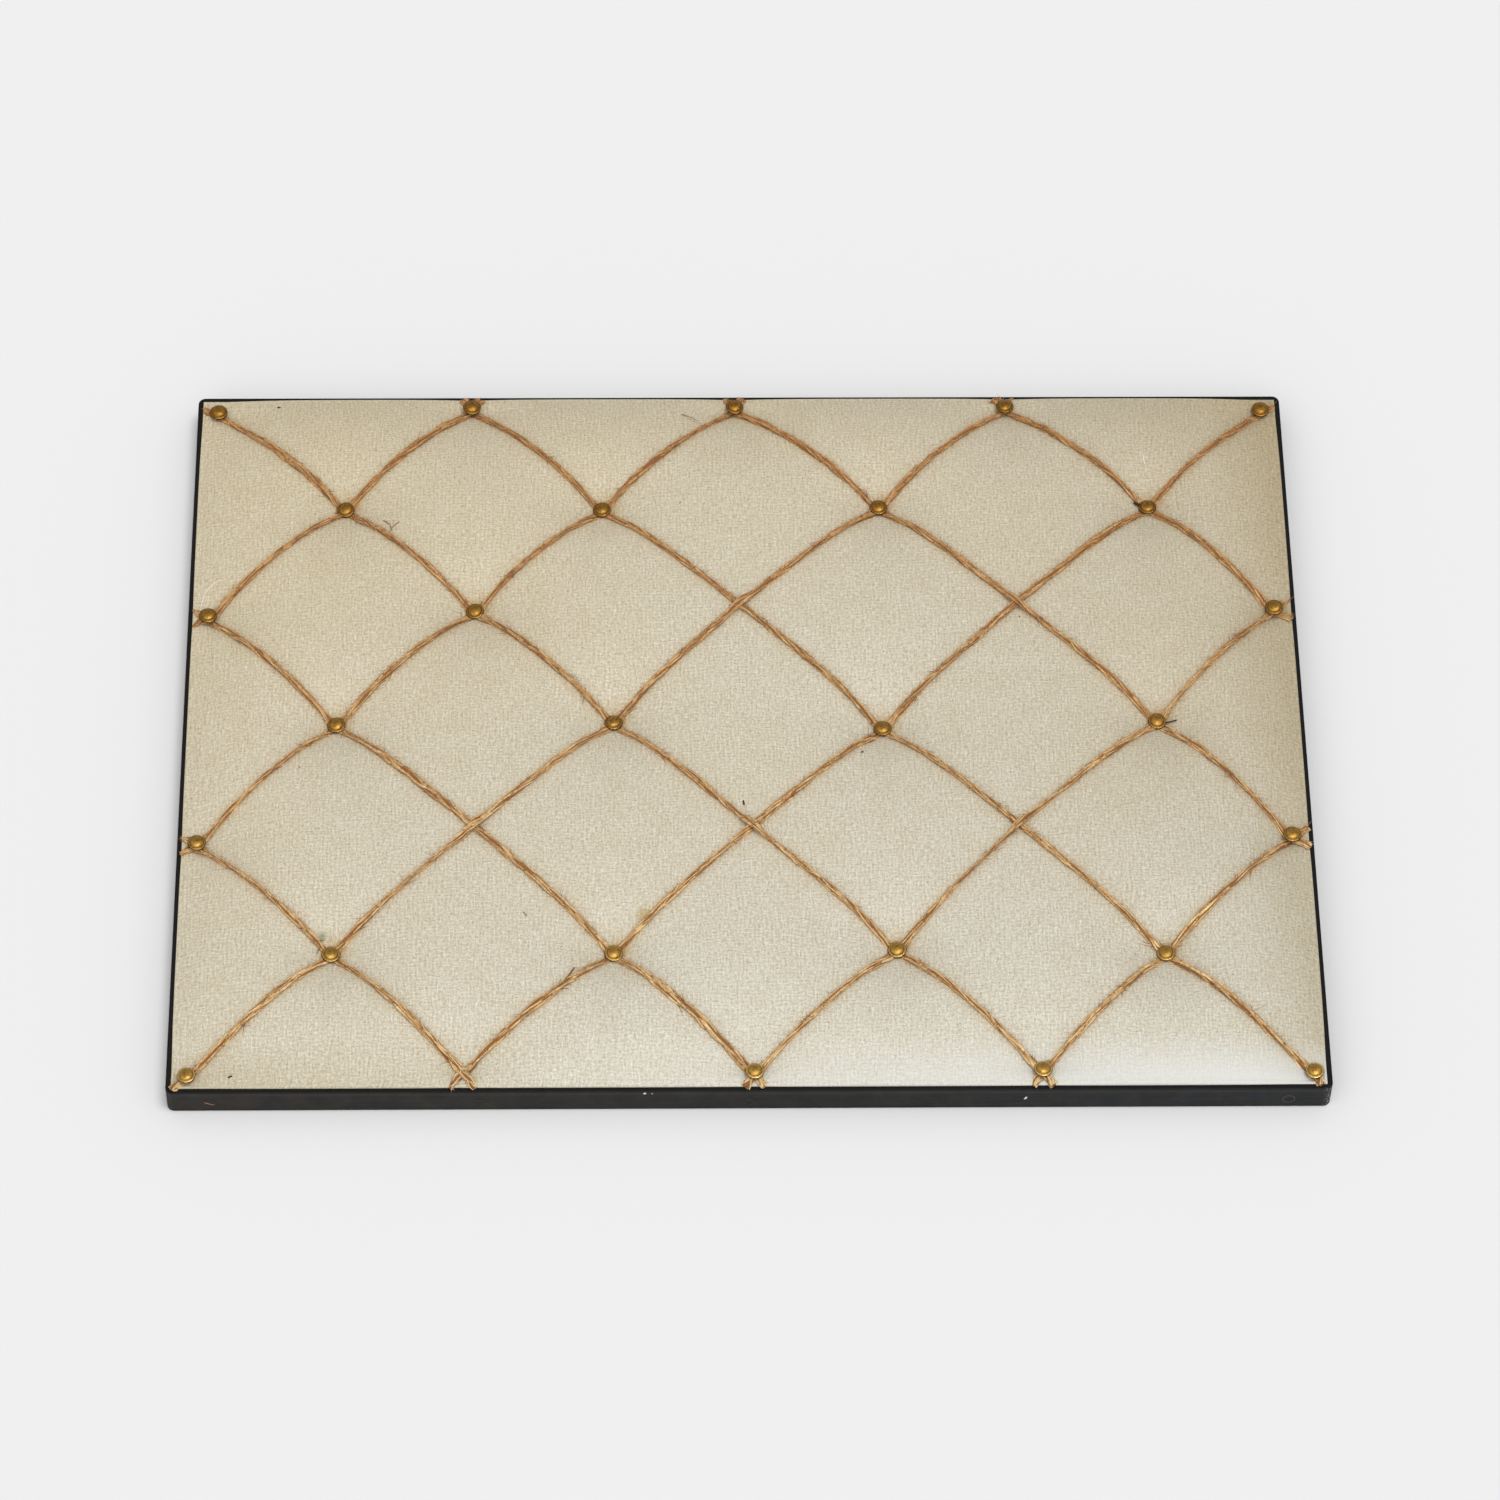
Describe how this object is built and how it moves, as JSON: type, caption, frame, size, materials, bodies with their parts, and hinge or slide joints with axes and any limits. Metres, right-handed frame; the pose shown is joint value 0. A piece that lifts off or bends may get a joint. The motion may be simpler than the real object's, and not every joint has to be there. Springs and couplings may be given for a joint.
{
  "type": "french memo board",
  "caption": "Padded memo board: linen over wadding, a nailed diamond lattice of jute twine to tuck notes and photos under, a thin black wood frame and hanging rings.",
  "frame": {"origin": "centre of the back plane, level with the back edges of the frame strips", "axes": "+X along the long side, +Y towards the top edge when hung, +Z out of the padded face"},
  "size_m": [0.61, 0.4576, 0.0368],
  "materials": {
    "black_painted_wood": "satin black paint",
    "plywood": "raw, sanded",
    "wadding": "lofty polyester",
    "linen": "natural slub weave",
    "jute_twine": "fuzzy plied twine",
    "aged_brass": "tarnished",
    "zinc_steel": "zinc plated"
  },
  "bodies": {
    "board": {"backing_panel": "plywood", "edge_staple": "zinc_steel", "frame_strip_bottom": "black_painted_wood", "frame_strip_left": "black_painted_wood", "frame_strip_right": "black_painted_wood", "frame_strip_top": "black_painted_wood", "hanger_screw_left_lower": "zinc_steel", "hanger_screw_left_upper": "zinc_steel", "hanger_screw_right_lower": "zinc_steel", "hanger_screw_right_upper": "zinc_steel", "hanger_strap_left": "zinc_steel", "hanger_strap_right": "zinc_steel", "linen_cover": "linen", "nail_a1": "aged_brass", "nail_a2": "aged_brass", "nail_a3": "aged_brass", "nail_a4": "aged_brass", "nail_a5": "aged_brass", "nail_b1": "aged_brass", "nail_b2": "aged_brass", "nail_b3": "aged_brass", "nail_b4": "aged_brass", "nail_c1": "aged_brass", "nail_c2": "aged_brass", "nail_c5": "aged_brass", "nail_d1": "aged_brass", "nail_d2": "aged_brass", "nail_d3": "aged_brass", "nail_d4": "aged_brass", "nail_e1": "aged_brass", "nail_e5": "aged_brass", "nail_f1": "aged_brass", "nail_f2": "aged_brass", "nail_f3": "aged_brass", "nail_f4": "aged_brass", "nail_g1": "aged_brass", "nail_g3": "aged_brass", "nail_g4": "aged_brass", "nail_g5": "aged_brass", "twine_falling_1": "jute_twine", "twine_falling_2": "jute_twine", "twine_falling_3": "jute_twine", "twine_falling_4": "jute_twine", "twine_falling_5": "jute_twine", "twine_falling_6": "jute_twine", "twine_rising_1": "jute_twine", "twine_rising_2": "jute_twine", "twine_rising_3": "jute_twine", "twine_rising_4": "jute_twine", "twine_rising_5": "jute_twine", "twine_rising_6": "jute_twine", "wadding_layer": "wadding"},
    "left_ring": {"hanger_ring_left": "zinc_steel"},
    "right_ring": {"hanger_ring_right": "zinc_steel"}
  },
  "joints": [
    {"name": "left_ring_swing", "type": "hinge", "parent": "board", "child": "left_ring", "pos_m": [-0.215, 0.15075, 0.00285], "axis": [-1, 0, 0], "range_deg": [-11, 165]},
    {"name": "right_ring_swing", "type": "hinge", "parent": "board", "child": "right_ring", "pos_m": [0.215, 0.15075, 0.00285], "axis": [-1, 0, 0], "range_deg": [-11, 165]}
  ]
}
